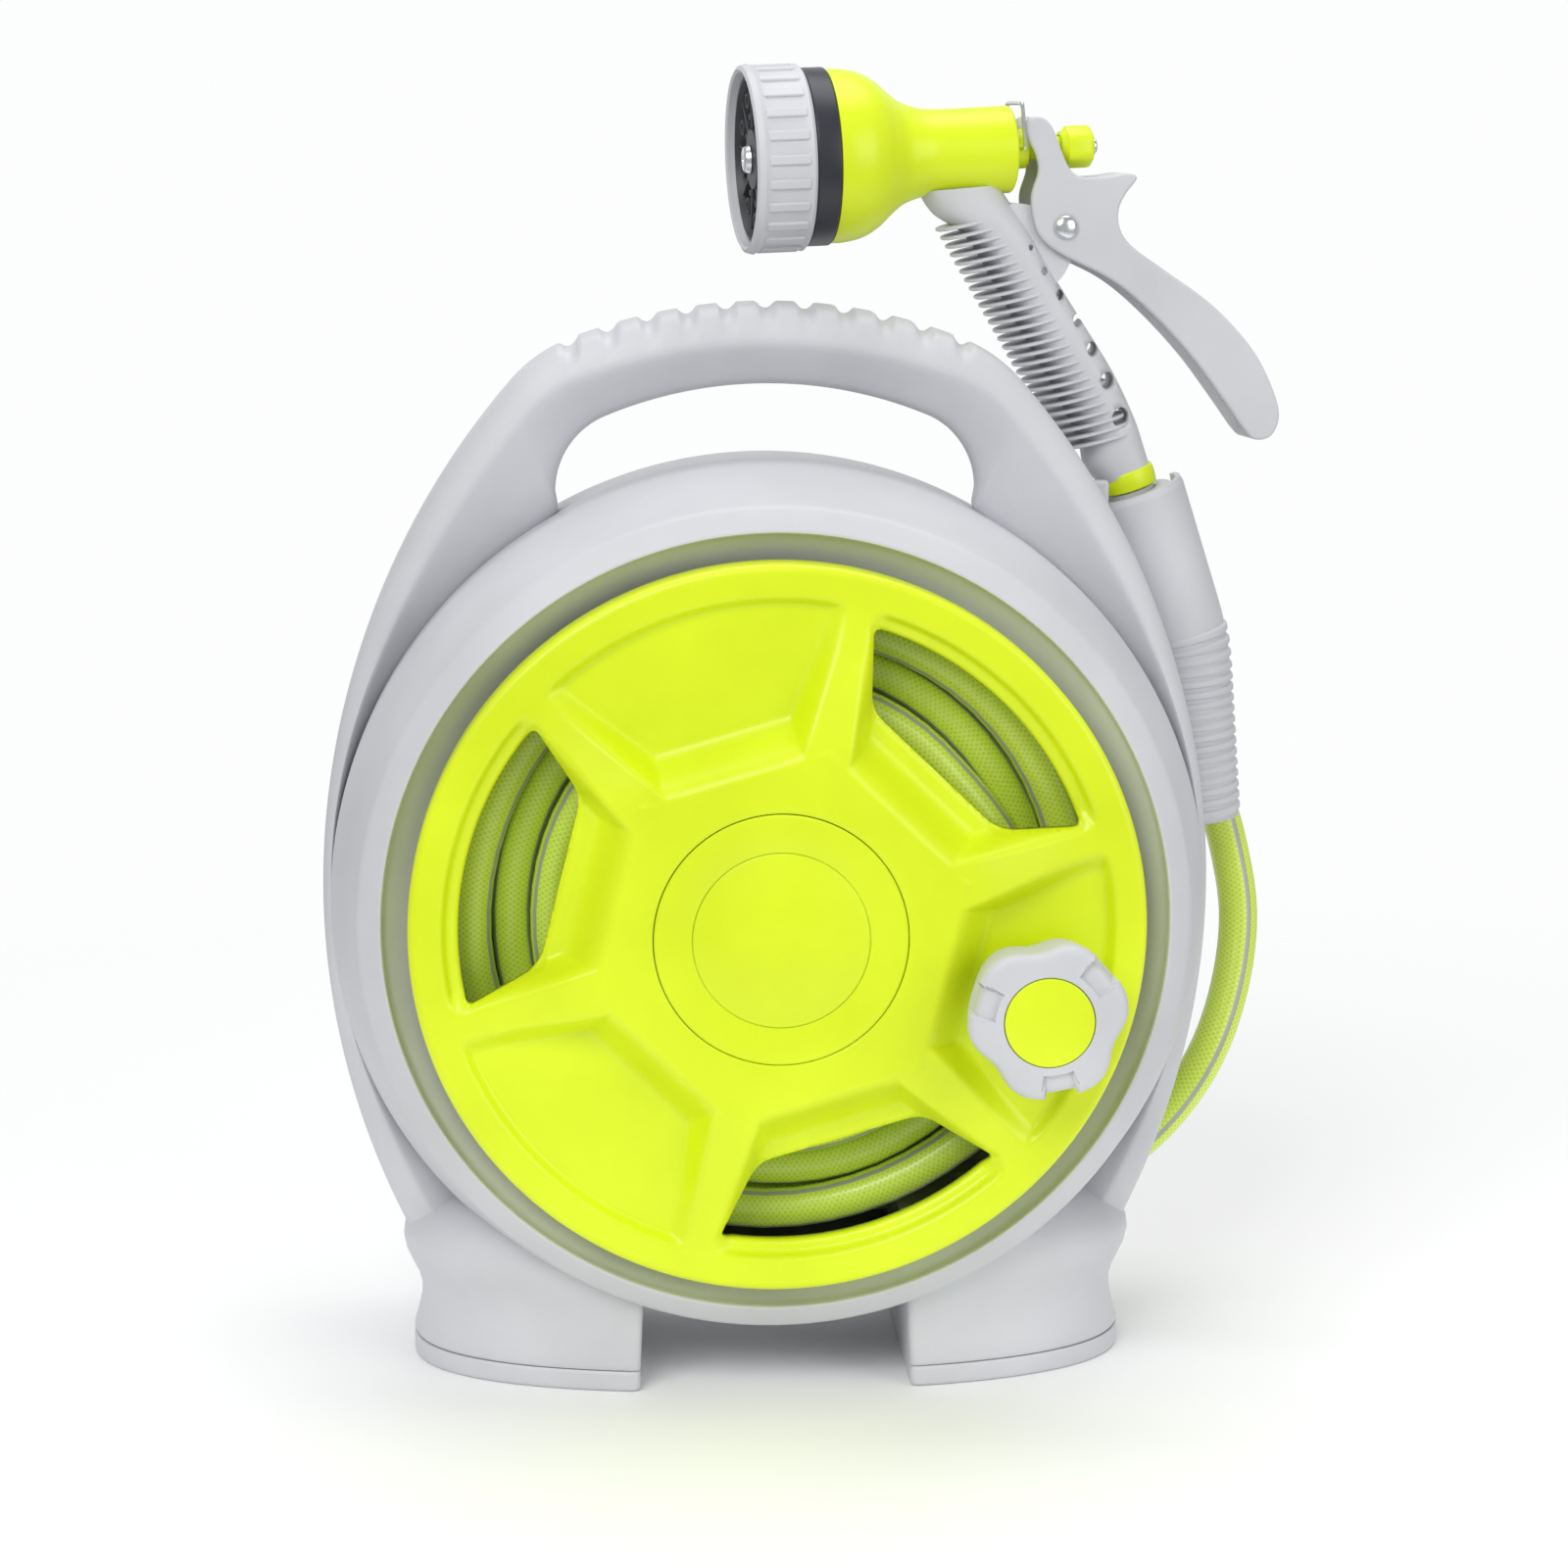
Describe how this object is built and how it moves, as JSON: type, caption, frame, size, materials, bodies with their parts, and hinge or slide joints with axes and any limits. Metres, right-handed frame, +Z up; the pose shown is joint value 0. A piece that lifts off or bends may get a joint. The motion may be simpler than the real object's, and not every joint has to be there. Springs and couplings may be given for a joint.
{
  "type": "portable hose reel",
  "caption": "Hand-carried garden hose reel: two-part case with carrying handle and feet, crank drum wound with hose, and a spray gun standing in a side holster.",
  "frame": {"origin": "centre of the footprint of the reel's outer box, on the floor that the feet stand on", "axes": "+X to the right and -Y to the front as seen by a person facing the crank, +Z up; the drum's axis is along Y"},
  "size_m": [0.2916, 0.1826, 0.3875],
  "materials": {
    "grey_plastic": "pale lavender-grey moulded polypropylene, satin",
    "lime_plastic": "acid lime moulded plastic, soft gloss",
    "black_plastic": "black moulded plastic",
    "hose_pvc": "translucent lime PVC over a knitted reinforcement",
    "bright_steel": "bright plated steel",
    "seal_rubber": "black seal rubber"
  },
  "bodies": {
    "case": {"front_housing": "grey_plastic", "rear_housing": "grey_plastic", "foot_sole_left": "grey_plastic", "foot_sole_right": "grey_plastic", "housing_screw_1": "bright_steel", "housing_screw_2": "bright_steel", "housing_screw_3": "bright_steel", "housing_screw_4": "bright_steel", "housing_screw_5": "bright_steel", "housing_screw_6": "bright_steel", "gun_holster": "grey_plastic", "holster_screw_1": "bright_steel", "holster_screw_2": "bright_steel", "inlet_spigot": "grey_plastic", "inlet_seal": "seal_rubber", "spigot_clip": "bright_steel", "hose_connector": "grey_plastic", "connector_hose_nut": "grey_plastic", "hose_lead": "hose_pvc"},
    "drum": {"drum_front_plate": "lime_plastic", "hub_cap": "lime_plastic", "drum_barrel": "grey_plastic", "drum_rear_flange": "lime_plastic", "drum_bush": "grey_plastic", "drum_outlet": "grey_plastic", "drum_screw_1": "bright_steel", "drum_screw_2": "bright_steel", "drum_screw_3": "bright_steel", "hose_coil": "hose_pvc", "knob_spindle": "bright_steel"},
    "knob": {"crank_knob": "grey_plastic", "knob_cap": "lime_plastic"},
    "sleeve": {"connector_sleeve": "lime_plastic"},
    "gun": {"gun_handle": "grey_plastic", "gun_barrel": "lime_plastic", "gun_inlet_nut": "lime_plastic", "gun_nipple": "grey_plastic", "index_band": "black_plastic", "pivot_pin": "bright_steel"},
    "squeeze_lever": {"trigger": "grey_plastic"},
    "stem": {"valve_stem": "lime_plastic", "stem_screw": "bright_steel"},
    "flow_control": {"flow_nut": "lime_plastic"},
    "dial": {"dial_bezel": "grey_plastic", "pattern_plate": "black_plastic", "dial_screw": "bright_steel"},
    "lock_clip": {"trigger_clip": "bright_steel"}
  },
  "joints": [
    {"name": "drum_spin", "type": "hinge", "parent": "case", "child": "drum", "pos_m": [-0.013, 0, 0.142], "axis": [0, 1, 0], "continuous": true},
    {"name": "knob_spin", "type": "hinge", "parent": "drum", "child": "knob", "pos_m": [0.06089, -0.08, 0.1222], "axis": [0, 1, 0], "continuous": true},
    {"name": "gun_pull", "type": "slide", "parent": "case", "child": "gun", "axis": [-0.3064, -0.0403, 0.9511], "range_m": [0, 0.03]},
    {"name": "connector_release", "type": "slide", "parent": "case", "child": "sleeve", "axis": [0.3064, 0.0403, -0.9511], "range_m": [0, 0.003], "stiffness_N_per_m": 600, "springref_m": -0.002},
    {"name": "trigger_squeeze", "type": "hinge", "parent": "gun", "child": "squeeze_lever", "pos_m": [0.07729, 0.03638, 0.3388], "axis": [-0.1305, 0.9914, 0], "range_deg": [0, 15], "stiffness_Nm_per_rad": 1.5, "springref_deg": -14.32},
    {"name": "stem_slide", "type": "slide", "parent": "gun", "child": "stem", "axis": [0.9908, 0.1304, 0.0349], "range_m": [0, 0.0056]},
    {"name": "flow_nut_turn", "type": "hinge", "parent": "stem", "child": "flow_control", "pos_m": [0.06182, 0.03434, 0.3618], "axis": [0.9908, 0.1304, 0.0349], "range_deg": [-180, 180]},
    {"name": "dial_spin", "type": "hinge", "parent": "gun", "child": "dial", "pos_m": [0.06182, 0.03434, 0.3618], "axis": [0.9908, 0.1304, 0.0349], "continuous": true},
    {"name": "clip_swing", "type": "hinge", "parent": "gun", "child": "lock_clip", "pos_m": [0.0642, 0.03465, 0.362], "axis": [-0.1305, 0.9914, 0], "range_deg": [0, 40]}
  ],
  "couplings": [
    {"joint": "stem_slide", "follows": "trigger_squeeze", "m_per_rad": 0.0205}
  ]
}
